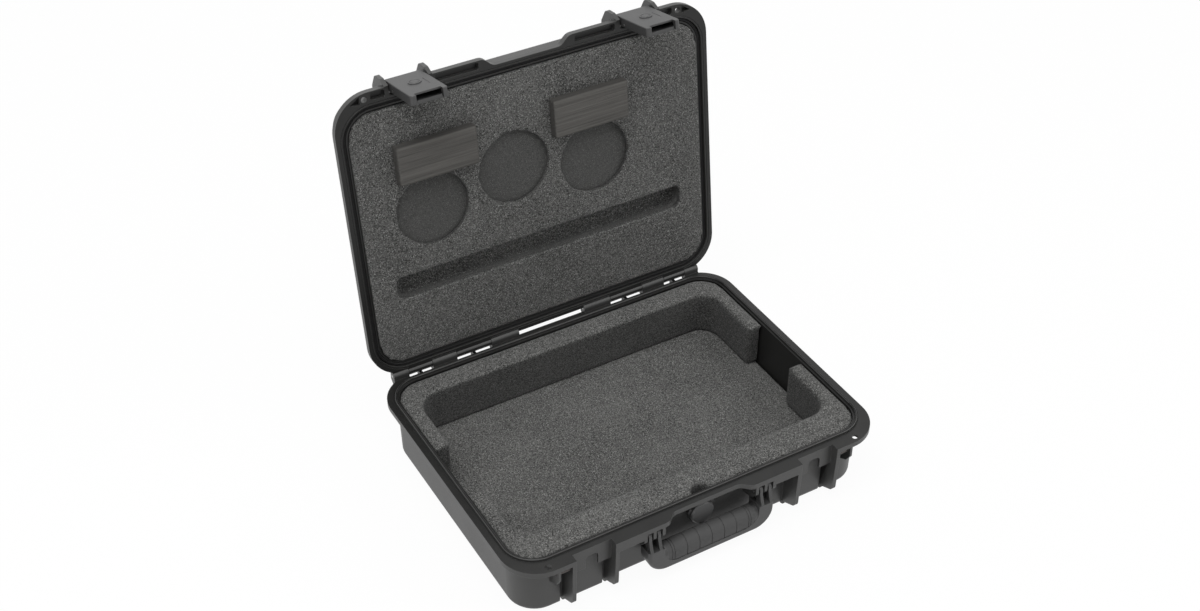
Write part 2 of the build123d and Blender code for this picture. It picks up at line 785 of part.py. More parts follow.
def latch_trigger(x):
    """Trigger of one latch: a plate with a finger lip and two hooks, split for its spring."""
    front = trigger_back_y - trigger_t
    hook_top = catch_low_z - hook_gap
    hook_tip_y = catch_y + hook_reach
    root_y = trigger_back_y - hook_root
    hook_outline = ((root_y, hook_top), (hook_tip_y, hook_top), (hook_tip_y, hook_top - hook_tip_h),
                    (trigger_back_y, hook_top - hook_h), (root_y, hook_top - hook_h))
    left = x - trigger_lip_half
    right = x + trigger_lip_half
    with BuildPart() as trigger:
        add(block(x - trigger_half, x + trigger_half, front, trigger_back_y, trigger_step_z, trigger_top_z))
        add(block(left, right, front, trigger_back_y, trigger_low_z, trigger_step_z))
        add(block(left, right, front - trigger_lip, front, trigger_low_z, trigger_low_z + trigger_lip))
        for side in (-1, 1):
            add(rod(x + side * trigger_window_half, x + side * trigger_half, trigger_pivot_y, trigger_pivot_z,
                    trigger_hub_r))
            add(cross_plate(hook_outline, x + side * hook_x, hook_w, hook_round, (1,)))
        add(block(x - trigger_window_half, x + trigger_window_half, front, trigger_back_y,
                  trigger_pivot_z - spring_leg - trigger_window_gap, trigger_top_z), mode=Mode.SUBTRACT)
        add(rod(x - trigger_half, x + trigger_half, trigger_pivot_y, trigger_pivot_z,
                trigger_pin_r + run_gap), mode=Mode.SUBTRACT)
    return trigger.part


def latch_spring(x):
    """Torsion spring on the trigger pin, with both legs pointing down."""
    turns = spring_turns + 0.5
    count = round(turns * spring_steps)
    angles = [2 * pi * i / spring_steps for i in range(count + 1)]
    points = [Vector(spring_coil_r * cos(angle), spring_coil_r * sin(angle), spring_pitch * angle / (2 * pi))
              for angle in angles]
    first = Vector(points[0].X, points[0].Y - spring_leg, points[0].Z)
    last = Vector(points[-1].X, points[-1].Y - spring_leg, points[-1].Z)
    with BuildPart() as spring:
        with BuildLine() as wire:
            Polyline(first, *points, last)
        with BuildSketch(Plane(origin=first, z_dir=(0, 1, 0))):
            RegularPolygon(spring_wire_r, 6)
        sweep(transition=Transition.RIGHT)
    place = Pos(x - spring_pitch * turns / 2, trigger_pivot_y, trigger_pivot_z)
    return place * Rot(X=-90) * Rot(Y=90) * spring.part


# Latches
latch_pivot = Pos(0, latch_pivot_y, latch_pivot_z)
drop = latch_pivot * Rot(X=-latch_rest_angle) * latch_pivot.inverse()
for name, side in sides:
    keep(latch_cover(side * bay_x), f"latch_{name}_cover", swing * drop)
    keep(latch_trigger(side * bay_x), f"latch_{name}_trigger", swing * drop)
    keep(latch_spring(side * bay_x), f"latch_{name}_spring", swing * drop)
    with BuildPart() as latch_pin:
        add(rod(side * (rib_x[0] - latch_pin_end), side * (rib_x[1] + latch_pin_end), latch_pivot_y,
                latch_pivot_z, latch_pin_r))
    keep(latch_pin.part, f"latch_{name}_pin", swing)
    with BuildPart() as trigger_pin:
        add(rod(side * bay_x - latch_w / 2, side * bay_x + latch_w / 2, trigger_pivot_y, trigger_pivot_z,
                trigger_pin_r))
    keep(trigger_pin.part, f"latch_{name}_trigger_pin", swing * drop)


def handle_yoke():
    """Lower half of the handle: a deep band with rounded corners that rises into two arms."""
    window_top = handle_web_z + window_r
    with BuildPart() as yoke:
        with BuildSketch(Plane.XZ.offset(-handle_back_y)) as outline:
            with Locations((0, (handle_low_z + handle_web_z) / 2)):
                Rectangle(2 * handle_half, handle_web_z - handle_low_z)
            fillet(outline.vertices().group_by(Axis.Y)[0], handle_corner)
            with Locations((0, (band_top_z + window_top) / 2)):
                RectangleRounded(2 * window_half, window_top - band_top_z, window_r, mode=Mode.SUBTRACT)
        extrude(amount=handle_back_y - handle_front_y)
        fillet(yoke.edges().filter_by(Axis.X).group_by(Axis.Z)[0], handle_edge)
    return yoke.part


# Handle frame: the yoke with a core through the grip, and forked prongs at the pivots
yoke = handle_yoke()
prong_front_y = handle_pivot_y - handle_hub_r
prong_outline = ((handle_front_y, handle_web_z - over), (prong_front_y, handle_pivot_z - prong_shoulder),
                 (prong_front_y, handle_pivot_z), (handle_pivot_y + handle_hub_r, handle_pivot_z),
                 (grip_y, handle_web_z - over))
with BuildPart() as handle_frame:
    add(yoke)
    add(grip_bar(grip_core_half, grip_core_w, grip_core_h, grip_core_r))
    for side in (-1, 1):
        add(Pos(side * (grip_half_len + collar_t / 2), 0, 0) * grip_bar(collar_t / 2, grip_w, grip_h, grip_r))
        for x in prong_x:
            add(rod(side * x - finger_t / 2, side * x + finger_t / 2, handle_pivot_y, handle_pivot_z,
                    handle_hub_r))
            add(cross_plate(prong_outline, side * x, finger_t))
    for side in (-1, 1):
        add(rod(side * finger_x[0], side * finger_x[-1], handle_pivot_y, handle_pivot_z,
                handle_pin_r + run_gap), mode=Mode.SUBTRACT)
keep(handle_frame.part, "handle_frame")

# Rubber grip with ring grooves, and a double groove at each end
with BuildPart() as handle_grip:
    add(grip_bar(grip_half_len, grip_w, grip_h, grip_r))
    middle = (ring_count - 1) / 2
    rings = [(i - middle) * ring_pitch for i in range(ring_count)]
    for x in (rings[0] - ring_end, *rings, rings[-1] + ring_end):
        with BuildSketch(Plane.YZ.offset(x)):
            with Locations((grip_y, grip_z)):
                RectangleRounded(grip_w, grip_h, grip_r)
                RectangleRounded(grip_w - 2 * ring_depth, grip_h - 2 * ring_depth, grip_r - ring_depth,
                                 mode=Mode.SUBTRACT)
        extrude(amount=ring_w / 2, both=True, mode=Mode.SUBTRACT)
    add(grip_bar(grip_half_len, grip_core_w, grip_core_h, grip_core_r), mode=Mode.SUBTRACT)
    add(yoke, mode=Mode.SUBTRACT)
keep(handle_grip.part, "handle_grip")

for name, side in sides:
    with BuildPart() as handle_pin:
        add(rod(side * (finger_x[0] - handle_pin_end), side * (finger_x[-1] + handle_pin_end), handle_pivot_y,
                handle_pivot_z, handle_pin_r))
    keep(handle_pin.part, f"handle_pin_{name}")
    with BuildPart() as strap_bar:
        add(rod(side * (rib_x[1] - bar_seat), side * (gusset_x + gusset_t / 2), bar_y, bar_z, bar_r))
    keep(strap_bar.part, f"strap_bar_{name}")

# Pressure valve: body with its flange and lugs, seal, nut, membrane and cap
flange_front_y = recess_y - valve_flange_t
inner_face_y = recess_y + recess_wall
stem_end_y = inner_face_y + valve_nut_t + valve_stem_end
with BuildPart() as valve_body:
    add(disc(valve_x, flange_front_y, recess_y, valve_z, valve_flange_r))
    add(disc(valve_x, recess_y, stem_end_y, valve_z, valve_stem_r))
    for angle in valve_lug_angles:
        lug = block(valve_cap_r + valve_lug_gap, valve_lug_r, flange_front_y - valve_cap_wall, recess_y,
                    -valve_lug_half, valve_lug_half)
        add(Pos(valve_x, 0, valve_z) * Rot(Y=-angle) * lug)
    # seat of the seal
    with BuildSketch(Plane.XZ.offset(-recess_y)):
        with Locations((valve_x, valve_z)):
            Circle(valve_ring_r + valve_ring_wire_r + valve_ring_gap)
            Circle(valve_ring_r - valve_ring_wire_r - valve_ring_gap, mode=Mode.SUBTRACT)
    extrude(amount=2 * valve_ring_wire_r, mode=Mode.SUBTRACT)
    add(disc(valve_x, flange_front_y, stem_end_y, valve_z, valve_vent_r), mode=Mode.SUBTRACT)
keep(valve_body.part, "valve_body")

with BuildPart() as valve_oring:
    with BuildSketch(Plane.XY.offset(valve_z)):
        with Locations((valve_x + valve_ring_r, recess_y - valve_ring_wire_r)):
            RegularPolygon(valve_ring_wire_r, 8)
    revolve(axis=Axis((valve_x, 0, valve_z), (0, 1, 0)))
keep(valve_oring.part, "valve_oring")

with BuildPart() as valve_nut:
    with BuildSketch(Plane.XZ.offset(-inner_face_y)):
        with Locations((valve_x, valve_z)):
            RegularPolygon(valve_nut_r, 6)
            Circle(valve_stem_r, mode=Mode.SUBTRACT)
    extrude(amount=-valve_nut_t)
keep(valve_nut.part, "valve_nut")

with BuildPart() as valve_membrane:
    add(disc(valve_x, flange_front_y - valve_membrane_t, flange_front_y, valve_z, valve_membrane_r))
keep(valve_membrane.part, "valve_membrane")

with BuildPart() as valve_cap:
    add(disc(valve_x, flange_front_y - valve_cap_t, flange_front_y, valve_z, valve_cap_r))
    chamfer(valve_cap.faces().sort_by(Axis.Y)[0].edges(), valve_cap_bevel)
    add(disc(valve_x, flange_front_y - valve_cap_wall, flange_front_y, valve_z, valve_cap_r - valve_cap_wall),
        mode=Mode.SUBTRACT)
keep(valve_cap.part, "valve_cap")
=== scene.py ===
import json

import bmesh
import bpy
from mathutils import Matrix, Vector


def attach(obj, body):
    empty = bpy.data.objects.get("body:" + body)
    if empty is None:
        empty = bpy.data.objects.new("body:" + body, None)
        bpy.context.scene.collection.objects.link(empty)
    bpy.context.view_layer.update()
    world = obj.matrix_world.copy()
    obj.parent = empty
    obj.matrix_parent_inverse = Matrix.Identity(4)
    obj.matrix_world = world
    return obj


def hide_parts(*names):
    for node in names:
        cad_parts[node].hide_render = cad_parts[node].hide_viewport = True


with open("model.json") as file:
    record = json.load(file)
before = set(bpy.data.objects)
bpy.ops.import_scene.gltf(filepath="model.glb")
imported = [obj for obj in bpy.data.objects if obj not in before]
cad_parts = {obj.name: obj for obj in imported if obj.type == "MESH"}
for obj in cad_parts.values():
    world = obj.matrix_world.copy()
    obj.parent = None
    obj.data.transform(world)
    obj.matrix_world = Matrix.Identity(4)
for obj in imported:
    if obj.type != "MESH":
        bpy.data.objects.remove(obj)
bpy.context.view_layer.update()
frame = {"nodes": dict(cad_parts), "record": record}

bl_info = {
    "name": "Control Panel Hard Case",
    "version": (1, 0, 0),
    "blender": (4, 5, 0),
    "location": "View3D > Sidebar > Hard Case",
    "description": "Dresses the packed hard case with moulded plastic, cut foam, rubber and steel",
    "category": "Object",
}

NODES = frame["nodes"]
BODY_OF = {node: body for body, names in frame["record"]["behaviour"]["bodies"].items() for node in names}
SIDES = ("left", "right")

# Directions that the rims of the base and of the open lid look in
BASE_RIM_OUT = Vector((0.0, 0.0, 1.0))
LID_RIM_OUT = Vector((0.0, -0.99255, 0.12187))

# Least cosine between a rim's direction and a face that belongs to the rim; these rim faces get painted
# shade
RIM_FACING = 0.98
# Growth of the box around the base foam, so that it takes in the walls beside the foam, which also get
# painted shade
FOAM_REACH = 0.003
# Faces of the lid's backing foam that lie deeper than this are cut, and the rest is its skin
SKIN_DEPTH = 0.005

# Grain heights of the plastics
SHELL_PEBBLES = 0.00012
FITTING_PEBBLES = 0.00006
SHADED_PEBBLES = 0.00002

# Factors on the panel's sizes and colours, for single finishes. The valve cap's factor paints light on it,
# and the lid foam's and the backing's factors paint shade on them
FITTING_EDGE = 0.7
FITTING_GRAIN = 0.6
SEAL_EDGE = 0.5
STEEL_EDGE = 0.3
VALVE_CAP_LIGHT = 2.3
LID_FOAM_SHADE = 0.84
SKIN_SHADE = 0.72
SKIN_CELL = 0.8
BLOCK_CELL = 0.7

# Speckle of the foams: the contrast of their cells and the share of bright flecks
CUT_CONTRAST = 2.0
CUT_FLECK = 0.8
SKIN_CONTRAST = 0.8
SKIN_FLECK = 0.25
BLOCK_CONTRAST = 0.5

# Softening of the foam meshes
FOAM_SMOOTHING = 2
SMOOTH_FACTOR = 0.5
CLOUD_SIZE = 0.03
CLOUD_MIDDLE = 0.62
BLOCK_MESH = 0.0015
BLOCK_ROUND_STEP = 0.0004
WELD_DISTANCE = 1e-6
FLAT_ANGLE = 0.02

# Camera, floor, lamps and world
CAMERA_PLACE = Vector((-0.79577, -1.30582, 1.44815))
CAMERA_AIM = Vector((0.3954, 0.6784, -0.6193))
CAMERA_LENS = 50.14
CAMERA_SENSOR = 36.0
FLOOR_HALF = 12.0
FLOOR_DROP = 0.0002
FLOOR_GLOW = 0.95
LAMP_AIM = Vector((0.0, 0.0, 0.15))
KEY_PLACE = Vector((-1.1, -0.7, 3.5))
KEY_SIZE = 2.4
KEY_POWER = 84.0
FILL_PLACE = Vector((2.6, -1.8, 2.2))
FILL_SIZE = 2.4
FILL_POWER = 32.0
RIM_PLACE = Vector((0.4, 3.0, 2.6))
RIM_SIZE = 2.0
RIM_POWER = 14.0
WORLD_LIGHT = 0.42
WORLD_SEEN = 1.0


# Settings that a user would change

class HardCaseColours(bpy.types.PropertyGroup):
    """Base colours of the finishes."""

    shell: bpy.props.FloatVectorProperty(
        name="Shell", description="Moulded plastic of both shells",
        subtype="COLOR", size=3, default=(0.031, 0.031, 0.030))
    fitting: bpy.props.FloatVectorProperty(
        name="Fittings", description="Plastic of the latches, handle and valve",
        subtype="COLOR", size=3, default=(0.034, 0.034, 0.034))
    seal: bpy.props.FloatVectorProperty(
        name="Seals", description="Rubber of the gasket and the valve ring",
        subtype="COLOR", size=3, default=(0.012, 0.012, 0.012))
    foam: bpy.props.FloatVectorProperty(
        name="Foam", description="Cut foam in both halves",
        subtype="COLOR", size=3, default=(0.085, 0.085, 0.082))
    block: bpy.props.FloatVectorProperty(
        name="Blocks", description="Foam of the two raised blocks",
        subtype="COLOR", size=3, default=(0.082, 0.079, 0.074))
    steel: bpy.props.FloatVectorProperty(
        name="Steel", description="Pins and springs",
        subtype="COLOR", size=3, default=(0.42, 0.42, 0.41))
    dark_steel: bpy.props.FloatVectorProperty(
        name="Dark steel", description="Blackened bars in the strap holes",
        subtype="COLOR", size=3, default=(0.085, 0.078, 0.074))
    # Darker plastic whose darkness is painted shade on the rim faces and on the shell walls beside the base
    # foam
    rim_and_wall_shade: bpy.props.FloatVectorProperty(
        name="Sealing faces", description="Smooth plastic of the rims and of the inner walls",
        subtype="COLOR", size=3, default=(0.015, 0.015, 0.0145))
    floor: bpy.props.FloatVectorProperty(
        name="Floor", description="Floor under the case",
        subtype="COLOR", size=3, default=(0.90, 0.90, 0.90))


class HardCaseSizes(bpy.types.PropertyGroup):
    """Sizes of the finish and of the softened foam."""

    edge: bpy.props.FloatProperty(
        name="Moulded edge", description="Radius that softens the moulded edges",
        unit="LENGTH", default=0.0007)
    grain: bpy.props.FloatProperty(
        name="Shell grain", description="Size of the pebbles in the moulded grain",
        unit="LENGTH", default=0.0009)
    cell: bpy.props.FloatProperty(
        name="Foam cell", description="Size of the cells of the foam",
        unit="LENGTH", default=0.00095)
    foam_mesh: bpy.props.FloatProperty(
        name="Foam mesh", description="Spacing of the mesh of the visible foam",
        unit="LENGTH", default=0.0035)
    foam_hidden_mesh: bpy.props.FloatProperty(
        name="Hidden foam mesh", description="Spacing of the mesh of the foam behind the rest",
        unit="LENGTH", default=0.0060)
    foam_wave: bpy.props.FloatProperty(
        name="Foam waviness", description="Height of the unevenness of a foam surface",
        unit="LENGTH", default=0.0005)
    block_round: bpy.props.FloatProperty(
        name="Block rounding", description="Rounding of the edges of the raised blocks",
        unit="LENGTH", default=0.0035)


# Small tools for node trees

BLACK = (0.0, 0.0, 0.0)
VALUE = "NodeSocketFloat"
VECTOR = "NodeSocketVector"

# Sockets of a colour mix, whose names it shares with those of the other kinds of mix
MIX_FACTOR = 0
MIX_FIRST = 6
MIX_SECOND = 7
MIX_RESULT = 2


def new_node(tree, kind, **settings):
    """A new node of a kind, with settings by attribute name."""
    node = tree.nodes.new(kind)
    for name, value in settings.items():
        setattr(node, name, value)
    return node


def feed(tree, slot, value):
    """Links an input to an output, or gives it a number or a colour."""
    if isinstance(value, bpy.types.NodeSocket):
        tree.links.new(value, slot)
    elif isinstance(value, tuple):
        slot.default_value = (*value, 1.0)
    else:
        slot.default_value = value


def calculate(tree, operation, first, second, clamp=False):
    """The result of a maths node on two values, each an output or a number."""
    node = new_node(tree, "ShaderNodeMath", operation=operation, use_clamp=clamp)
    feed(tree, node.inputs[0], first)
    feed(tree, node.inputs[1], second)
    return node.outputs[0]


def dot_product(tree, first, second):
    """How much two directions agree."""
    node = new_node(tree, "ShaderNodeVectorMath", operation="DOT_PRODUCT")
    tree.links.new(first, node.inputs[0])
    tree.links.new(second, node.inputs[1])
    return node.outputs["Value"]


def map_range(tree, value, low=0.0, high=1.0, to_low=0.0, to_high=1.0):
    """A clamped change of range."""
    node = new_node(tree, "ShaderNodeMapRange")
    tree.links.new(value, node.inputs["Value"])
    for name, number in (("From Min", low), ("From Max", high), ("To Min", to_low), ("To Max", to_high)):
        node.inputs[name].default_value = number
    return node.outputs["Result"]


def object_place(tree):
    """Places on the object, for a texture."""
    return new_node(tree, "ShaderNodeTexCoord").outputs["Object"]


def stretched_place(tree, scale):
    """Places on the object, for a texture that is drawn out along some axes."""
    stretch = new_node(tree, "ShaderNodeMapping")
    stretch.inputs["Scale"].default_value = scale
    tree.links.new(object_place(tree), stretch.inputs["Vector"])
    return stretch.outputs["Vector"]


def noise(tree, place, scale, detail=2.0, roughness=0.5):
    """The value of a noise texture."""
    node = new_node(tree, "ShaderNodeTexNoise")
    tree.links.new(place, node.inputs["Vector"])
    feed(tree, node.inputs["Scale"], scale)
    node.inputs["Detail"].default_value = detail
    node.inputs["Roughness"].default_value = roughness
    return node.outputs["Fac"]


def mix_colour(tree, factor, first, second):
    """A mix of two colours, each an output or a tuple."""
    node = new_node(tree, "ShaderNodeMix", data_type="RGBA")
    feed(tree, node.inputs[MIX_FACTOR], factor)
    feed(tree, node.inputs[MIX_FIRST], first)
    feed(tree, node.inputs[MIX_SECOND], second)
    return node.outputs[MIX_RESULT]


def shade(colour, factor):
    """A colour made lighter or darker."""
    return tuple(min(1.0, channel * factor) for channel in colour)


def two_tones(tree, factor, colour, dark, light):
    """A colour that changes from a darker to a lighter tone of itself."""
    return mix_colour(tree, factor, shade(colour, dark), shade(colour, light))


def new_group(name, inputs, outputs):
    """An empty shader node group with named inputs and outputs, and its two end nodes."""
    group = bpy.data.node_groups.new(name, "ShaderNodeTree")
    for label, default in inputs.items():
        kind = VECTOR if isinstance(default, tuple) else VALUE
        made = group.interface.new_socket(name=label, in_out="INPUT", socket_type=kind)
        made.default_value = default
    for label, kind in outputs.items():
        group.interface.new_socket(name=label, in_out="OUTPUT", socket_type=kind)
    return group, new_node(group, "NodeGroupInput"), new_node(group, "NodeGroupOutput")


# Shared effects

def edge_highlight_group():
    """Softened edges: a rounded normal, and a mask that is strong along edges, which some finishes use to
    paint highlights on the edges.
    """
    inputs = {"Radius": 0.001, "Breakup": 300.0}
    group, given, made = new_group("Edge Highlight", inputs, {"Mask": VALUE, "Normal": VECTOR})
    bevel = new_node(group, "ShaderNodeBevel", samples=6)
    geometry = new_node(group, "ShaderNodeNewGeometry")
    group.links.new(given.outputs["Radius"], bevel.inputs["Radius"])
    flatness = dot_product(group, bevel.outputs["Normal"], geometry.outputs["Normal"])
    edge = map_range(group, flatness, low=0.995, high=0.85)
    cloud = noise(group, object_place(group), given.outputs["Breakup"])
    patch = map_range(group, cloud, low=0.35, high=0.7, to_low=0.35)
    group.links.new(calculate(group, "MULTIPLY", edge, patch), made.inputs["Mask"])
    group.links.new(bevel.outputs["Normal"], made.inputs["Normal"])
    return group


def grain_group():
    """Moulded grain: slow tone changes and a fine pebble height."""
    pebble_share = 0.6
    group, given, made = new_group("Moulded Grain", {"Size": 0.001}, {"Tone": VALUE, "Height": VALUE})
    place = object_place(group)
    per_metre = calculate(group, "DIVIDE", 1.0, given.outputs["Size"])
    pebble = new_node(group, "ShaderNodeTexVoronoi", feature="SMOOTH_F1")
    group.links.new(place, pebble.inputs["Vector"])
    group.links.new(per_metre, pebble.inputs["Scale"])
    rounds = calculate(group, "MULTIPLY", pebble.outputs["Distance"], pebble_share)
    fine = noise(group, place, per_metre, detail=3.0, roughness=0.6)
    broad = noise(group, place, scale=9.0, detail=4.0, roughness=0.55)
    group.links.new(map_range(group, broad, low=0.3, high=0.7), made.inputs["Tone"])
    group.links.new(calculate(group, "ADD", rounds, fine), made.inputs["Height"])
    return group


def foam_group():
    """Cells of cut foam: a speckled tone, bright flecks and a height."""
    cell_share = 0.45
    coarse_share = 0.9
    broad_share = 0.25
    coarse_scale = 0.55
    usual_sum = 0.80
    middle_tone = 0.5
    inputs = {"Size": 0.0012, "Contrast": 1.0}
    group, given, made = new_group("Foam Cells", inputs, {"Tone": VALUE, "Fleck": VALUE, "Height": VALUE})
    place = object_place(group)
    per_metre = calculate(group, "DIVIDE", 1.0, given.outputs["Size"])
    cell = new_node(group, "ShaderNodeTexVoronoi")
    group.links.new(place, cell.inputs["Vector"])
    group.links.new(per_metre, cell.inputs["Scale"])
    draw = new_node(group, "ShaderNodeSeparateColor")
    group.links.new(cell.outputs["Color"], draw.inputs["Color"])
    coarse_per_metre = calculate(group, "MULTIPLY", per_metre, coarse_scale)
    coarse = noise(group, place, coarse_per_metre, detail=2.0, roughness=0.6)
    broad = noise(group, place, scale=14.0, detail=3.0, roughness=0.5)
    cells = calculate(group, "MULTIPLY", draw.outputs["Red"], cell_share)
    summed = calculate(group, "ADD", cells, calculate(group, "MULTIPLY", coarse, coarse_share))
    summed = calculate(group, "ADD", summed, calculate(group, "MULTIPLY", broad, broad_share))
    centred = calculate(group, "SUBTRACT", summed, usual_sum)
    spread = calculate(group, "MULTIPLY", centred, given.outputs["Contrast"])
    group.links.new(calculate(group, "ADD", spread, middle_tone, clamp=True), made.inputs["Tone"])
    group.links.new(map_range(group, draw.outputs["Green"], low=0.86, high=0.97), made.inputs["Fleck"])
    group.links.new(calculate(group, "SUBTRACT", coarse, cell.outputs["Distance"]), made.inputs["Height"])
    return group


def dust_group():
    """Light dust on surfaces that face up."""
    group, given, made = new_group("Dust", {"Amount": 0.3}, {"Mask": VALUE})
    geometry = new_node(group, "ShaderNodeNewGeometry")
    split = new_node(group, "ShaderNodeSeparateXYZ")
    group.links.new(geometry.outputs["Normal"], split.inputs["Vector"])
    up = map_range(group, split.outputs["Z"], low=0.3, high=0.95)
    cloud = noise(group, object_place(group), scale=22.0, detail=5.0, roughness=0.65)
    settled = calculate(group, "MULTIPLY", up, map_range(group, cloud, low=0.45, high=0.75))
    group.links.new(calculate(group, "MULTIPLY", settled, given.outputs["Amount"]), made.inputs["Mask"])
    return group


def facing_group():
    """One where a surface looks in a direction of its own object, and zero on walls cut across it."""
    group, given, made = new_group("Facing", {"Direction": (0.0, 0.0, 1.0)}, {"Mask": VALUE})
    geometry = new_node(group, "ShaderNodeNewGeometry")
    turn = new_node(group, "ShaderNodeVectorTransform", vector_type="NORMAL", convert_from="WORLD",
                    convert_to="OBJECT")
    group.links.new(geometry.outputs["Normal"], turn.inputs["Vector"])
    agreement = dot_product(group, turn.outputs["Vector"], given.outputs["Direction"])
    group.links.new(map_range(group, agreement, low=0.35, high=0.85), made.inputs["Mask"])
    return group


SHARED = {
    "Edge Highlight": edge_highlight_group,
    "Moulded Grain": grain_group,
    "Foam Cells": foam_group,
    "Dust": dust_group,
    "Facing": facing_group,
}


def place_group(tree, name, **values):
    """A shared effect in a material, with its own values."""
    group = bpy.data.node_groups.get(name) or SHARED[name]()
    node = new_node(tree, "ShaderNodeGroup", node_tree=group)
    for label, value in values.items():
        node.inputs[label].default_value = value
    return node


# Finishes

DUST_AMOUNT = 0.04


def new_material(name):
    """A new node material, its tree and its Principled BSDF."""
    material = bpy.data.materials.new(name)
    material.use_nodes = True
    tree = material.node_tree
    return material, tree, tree.nodes["Principled BSDF"]


def bump(tree, shader, height, distance, strength, normal=None):
    """A bump on the shader's normal."""
    node = new_node(tree, "ShaderNodeBump")
    node.inputs["Distance"].default_value = distance
    node.inputs["Strength"].default_value = strength
    tree.links.new(height, node.inputs["Height"])
    if normal is not None:
        tree.links.new(normal, node.inputs["Normal"])
    tree.links.new(node.outputs["Normal"], shader.inputs["Normal"])


def moulded_plastic(name, colour, edge, grain, pebbles, roughness, specular=0.6):
    """Moulded plastic with a pebble grain, painted highlights along the edges, where it is also less rough,
    and a little dust.
    """
    edge_highlight = 0.6
    highlight_tone = 2.6
    highlight_polish = 0.08
    dust_colour = (0.20, 0.195, 0.185)
    material, tree, shader = new_material(name)
    edge_effect = place_group(tree, "Edge Highlight", Radius=edge)
    moulded = place_group(tree, "Moulded Grain", Size=grain)
    dust = place_group(tree, "Dust", Amount=DUST_AMOUNT)
    base = two_tones(tree, moulded.outputs["Tone"], colour, dark=0.9, light=1.1)
    # The edge mask lightens the colour: a painted highlight along the edges
    highlit_edges = calculate(tree, "MULTIPLY", edge_effect.outputs["Mask"], edge_highlight)
    base = mix_colour(tree, highlit_edges, base, shade(colour, highlight_tone))
    base = mix_colour(tree, dust.outputs["Mask"], base, dust_colour)
    tree.links.new(base, shader.inputs["Base Color"])
    rough = map_range(tree, moulded.outputs["Tone"], to_low=roughness - 0.04, to_high=roughness + 0.05)
    rough = calculate(tree, "SUBTRACT", rough, calculate(tree, "MULTIPLY", highlit_edges, highlight_polish))
    tree.links.new(rough, shader.inputs["Roughness"])
    shader.inputs["Specular IOR Level"].default_value = specular
    bump(tree, shader, moulded.outputs["Height"], pebbles, strength=0.6, normal=edge_effect.outputs["Normal"])
    return material


def soft_rubber(name, colour, edge, roughness):
    """Matte rubber with a fine skin, painted highlights along the edges and a little dust."""
    edge_highlight = 0.3
    highlight_tone = 1.6
    dust_colour = (0.17, 0.165, 0.16)
    material, tree, shader = new_material(name)
    edge_effect = place_group(tree, "Edge Highlight", Radius=edge)
    skin = place_group(tree, "Moulded Grain", Size=0.0006)
    dust = place_group(tree, "Dust", Amount=DUST_AMOUNT)
    base = two_tones(tree, skin.outputs["Tone"], colour, dark=0.88, light=1.12)
    # The edge mask lightens the colour: a painted highlight along the edges
    highlit_edges = calculate(tree, "MULTIPLY", edge_effect.outputs["Mask"], edge_highlight)
    base = mix_colour(tree, highlit_edges, base, shade(colour, highlight_tone))
    base = mix_colour(tree, dust.outputs["Mask"], base, dust_colour)
    tree.links.new(base, shader.inputs["Base Color"])
    rough = map_range(tree, skin.outputs["Tone"], to_low=roughness - 0.05, to_high=roughness + 0.05)
    tree.links.new(rough, shader.inputs["Roughness"])
    shader.inputs["Specular IOR Level"].default_value = 0.2
    bump(tree, shader, skin.outputs["Height"], distance=0.00008, strength=0.6,
         normal=edge_effect.outputs["Normal"])
    return material


def ground_steel(name, colour, edge):
    """Ground steel with fine turning marks."""
    material, tree, shader = new_material(name)
    turned = stretched_place(tree, (1.0, 0.12, 0.12))
    marks = noise(tree, turned, scale=2600.0, detail=3.0, roughness=0.6)
    edge_effect = place_group(tree, "Edge Highlight", Radius=edge)
    base = two_tones(tree, marks, colour, dark=0.82, light=1.12)
    tree.links.new(base, shader.inputs["Base Color"])
    shader.inputs["Metallic"].default_value = 1.0
    rough = map_range(tree, marks, low=0.3, high=0.7, to_low=0.24, to_high=0.42)
    tree.links.new(rough, shader.inputs["Roughness"])
    bump(tree, shader, marks, distance=0.00003, strength=0.4, normal=edge_effect.outputs["Normal"])
    return material


def painted_wall_shade(tree, colour, outward, most):
    """A colour darkened on walls cut across a surface that looks outward: painted shade."""
    facing = place_group(tree, "Facing", Direction=outward)
    share = map_range(tree, facing.outputs["Mask"], to_low=most, to_high=0.0)
    return mix_colour(tree, share, colour, BLACK)


def cut_foam(name, colour, cell, contrast, fleck, outward):
    """Charcoal foam with a speckled cut face, with painted shade on the walls cut across it."""
    fleck_colour = (0.30, 0.30, 0.29)
    material, tree, shader = new_material(name)
    cells = place_group(tree, "Foam Cells", Size=cell, Contrast=contrast)
    base = two_tones(tree, cells.outputs["Tone"], colour, dark=0.22, light=1.85)
    flecks = calculate(tree, "MULTIPLY", cells.outputs["Fleck"], fleck)
    base = mix_colour(tree, flecks, base, fleck_colour)
    base = painted_wall_shade(tree, base, outward, most=0.42)
    tree.links.new(base, shader.inputs["Base Color"])
    rough = map_range(tree, cells.outputs["Tone"], to_low=0.95, to_high=0.8)
    tree.links.new(rough, shader.inputs["Roughness"])
    shader.inputs["Specular IOR Level"].default_value = 0.2
    shader.inputs["Sheen Weight"].default_value = 0.08
    shader.inputs["Sheen Roughness"].default_value = 0.6
    bump(tree, shader, cells.outputs["Height"], distance=0.0009, strength=0.55)
    return material


